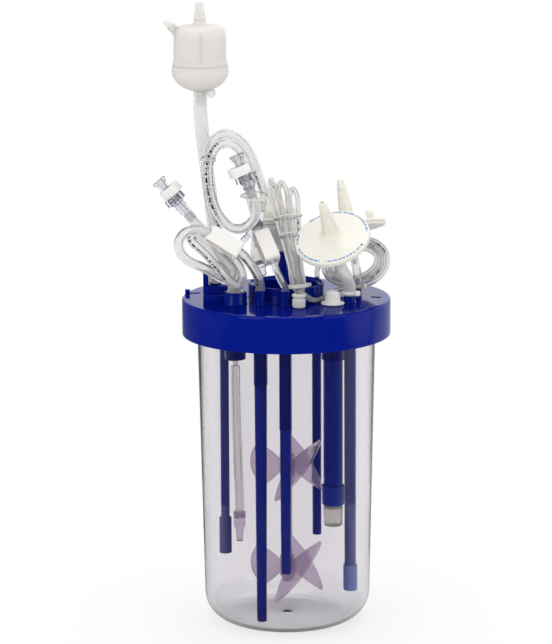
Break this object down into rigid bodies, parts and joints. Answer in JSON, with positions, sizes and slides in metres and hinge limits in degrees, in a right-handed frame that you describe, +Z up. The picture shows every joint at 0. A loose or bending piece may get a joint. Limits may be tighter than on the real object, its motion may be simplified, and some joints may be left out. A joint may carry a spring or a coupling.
{
  "type": "bench bioreactor",
  "caption": "Clear stirred bench bioreactor vessel with a blue port lid, dip tubes, magnet-driven impellers, vent filters, a capsule filter and looped silicone lines.",
  "frame": {"origin": "centre of the vessel's flat base", "axes": "+Z up along the vessel's axis and the stirrer shaft, -Y towards the front, where the dip tubes show, +X to the right seen from the front"},
  "size_m": [0.1926, 0.171, 0.5129],
  "materials": {
    "lid_blue": "glossy moulded blue",
    "rod_blue": "smooth blue",
    "sleeve_blue": "translucent blue",
    "crystal": "clear polystyrene",
    "smoke": "translucent violet grey",
    "silicone": "translucent silicone",
    "natural": "natural polypropylene",
    "white": "white moulded plastic",
    "luer_clear": "clear tinted plastic",
    "seal": "silicone seal",
    "steel": "turned steel",
    "magnet": "coated magnet",
    "pleat": "pleated membrane"
  },
  "bodies": {
    "reactor": {"back_filter_hose": "silicone", "back_filter_lower": "natural", "back_filter_upper": "natural", "back_hose_tie": "white", "capsule_bowl": "natural", "capsule_element": "pleat", "capsule_housing": "natural", "dip_hose": "silicone", "dip_hose_fitting": "smoke", "drop_fitting": "luer_clear", "drop_hose": "silicone", "exhaust_hose": "silicone", "feed_clamp": "white", "feed_coil": "silicone", "feed_line": "silicone", "feed_luer_body": "luer_clear", "feed_tail": "silicone", "front_filter_hose": "silicone", "front_filter_lower": "natural", "front_filter_upper": "natural", "front_hose_tie": "white", "harvest_clamp": "white", "harvest_line": "silicone", "harvest_tube": "rod_blue", "level_tip": "sleeve_blue", "level_tube": "rod_blue", "lid": "lid_blue", "lid_seal": "seal", "line_manifold": "luer_clear", "loop_line": "silicone", "loop_luer_body": "luer_clear", "motor_well": "lid_blue", "overlay_tip": "sleeve_blue", "overlay_tube": "rod_blue", "pivot_pin": "steel", "port_line": "silicone", "port_plug": "white", "probe_cap": "white", "probe_well": "rod_blue", "probe_window": "sleeve_blue", "ring_stopper": "silicone", "sample_coil": "silicone", "sample_dip_tube": "rod_blue", "sample_end_fitting": "natural", "sample_hank": "silicone", "sample_lead": "silicone", "sample_link": "silicone", "sparge_tube": "rod_blue", "tower_filter_lower": "natural", "tower_filter_upper": "natural", "vessel": "crystal"},
    "stirrer": {"rotor_hub": "white", "rotor_magnet": "magnet", "rotor_bush": "white", "impeller_shaft": "smoke", "upper_impeller": "smoke", "lower_impeller": "smoke"},
    "feed_lock": {"feed_luer_collar": "white"},
    "loop_lock": {"loop_luer_collar": "white"},
    "vent_valve": {"vent_screw": "natural"}
  },
  "joints": [
    {"name": "impeller_spin", "type": "hinge", "parent": "reactor", "child": "stirrer", "pos_m": [0, 0, 0.15], "axis": [0, 0, 1], "continuous": true},
    {"name": "feed_lock_turn", "type": "hinge", "parent": "reactor", "child": "feed_lock", "pos_m": [-0.09393, -0.0306, 0.36352], "axis": [0.6535, 0, -0.7569], "continuous": true},
    {"name": "loop_lock_turn", "type": "hinge", "parent": "reactor", "child": "loop_lock", "pos_m": [-0.03481, -0.046, 0.38391], "axis": [0.363, 0, -0.9318], "continuous": true},
    {"name": "vent_valve_turn", "type": "hinge", "parent": "reactor", "child": "vent_valve", "pos_m": [-0.0889, -0.00866, 0.49201], "axis": [-0.7454, -0.1193, 0.6559], "range_deg": [0, 90]}
  ]
}
